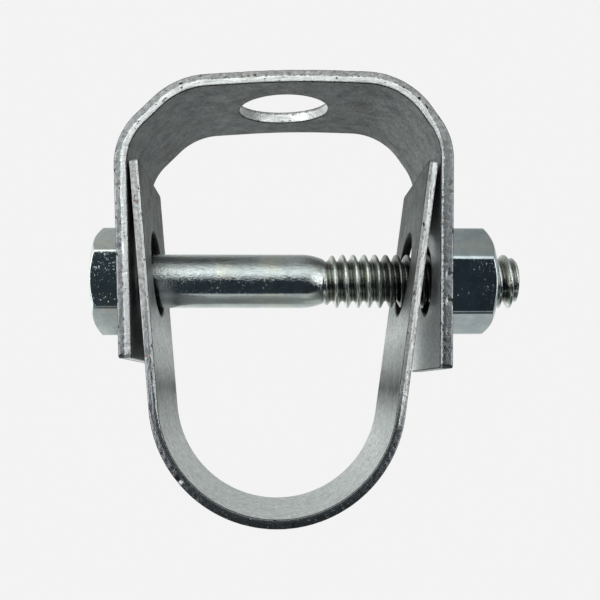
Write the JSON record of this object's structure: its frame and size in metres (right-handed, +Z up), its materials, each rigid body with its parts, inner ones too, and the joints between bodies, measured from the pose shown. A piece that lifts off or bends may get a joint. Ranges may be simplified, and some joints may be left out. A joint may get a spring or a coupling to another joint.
{
  "type": "clevis pipe hanger",
  "caption": "Clevis pipe hanger: a formed steel yoke with a rod hole, and a round-bottomed strap that carries the pipe, joined by a hex cross bolt and nut.",
  "frame": {"origin": "centre of the rod hole, on the crown's top face", "axes": "+Z up along the hanger rod, X along the cross bolt with its head at -X and its nut at +X, Y along the pipe"},
  "size_m": [0.049, 0.019, 0.0493],
  "materials": {
    "yoke_steel": "dull galvanised strip with sheared edges",
    "strap_steel": "dull galvanised strip with sheared edges",
    "bolt_zinc": "bright zinc plate, slightly pitted",
    "nut_zinc": "bright zinc plate, slightly pitted"
  },
  "bodies": {
    "yoke": {"upper_yoke": "yoke_steel"},
    "strap": {"lower_strap": "strap_steel"},
    "bolt": {"cross_bolt": "bolt_zinc"},
    "nut": {"hex_nut": "nut_zinc"}
  },
  "joints": [
    {"name": "strap_swing", "type": "hinge", "parent": "yoke", "child": "strap", "pos_m": [0, 0, -0.0222], "axis": [1, 0, 0], "range_deg": [-7.5, 7.5]},
    {"name": "bolt_turn", "type": "hinge", "parent": "yoke", "child": "bolt", "pos_m": [0, 0, -0.0222], "axis": [-1, 0, 0], "range_deg": [0, 810]},
    {"name": "nut_travel", "type": "slide", "parent": "yoke", "child": "nut", "axis": [1, 0, 0], "range_m": [0, 0.00286]}
  ],
  "couplings": [
    {"joint": "nut_travel", "follows": "bolt_turn", "m_per_rad": 0.00020213}
  ]
}
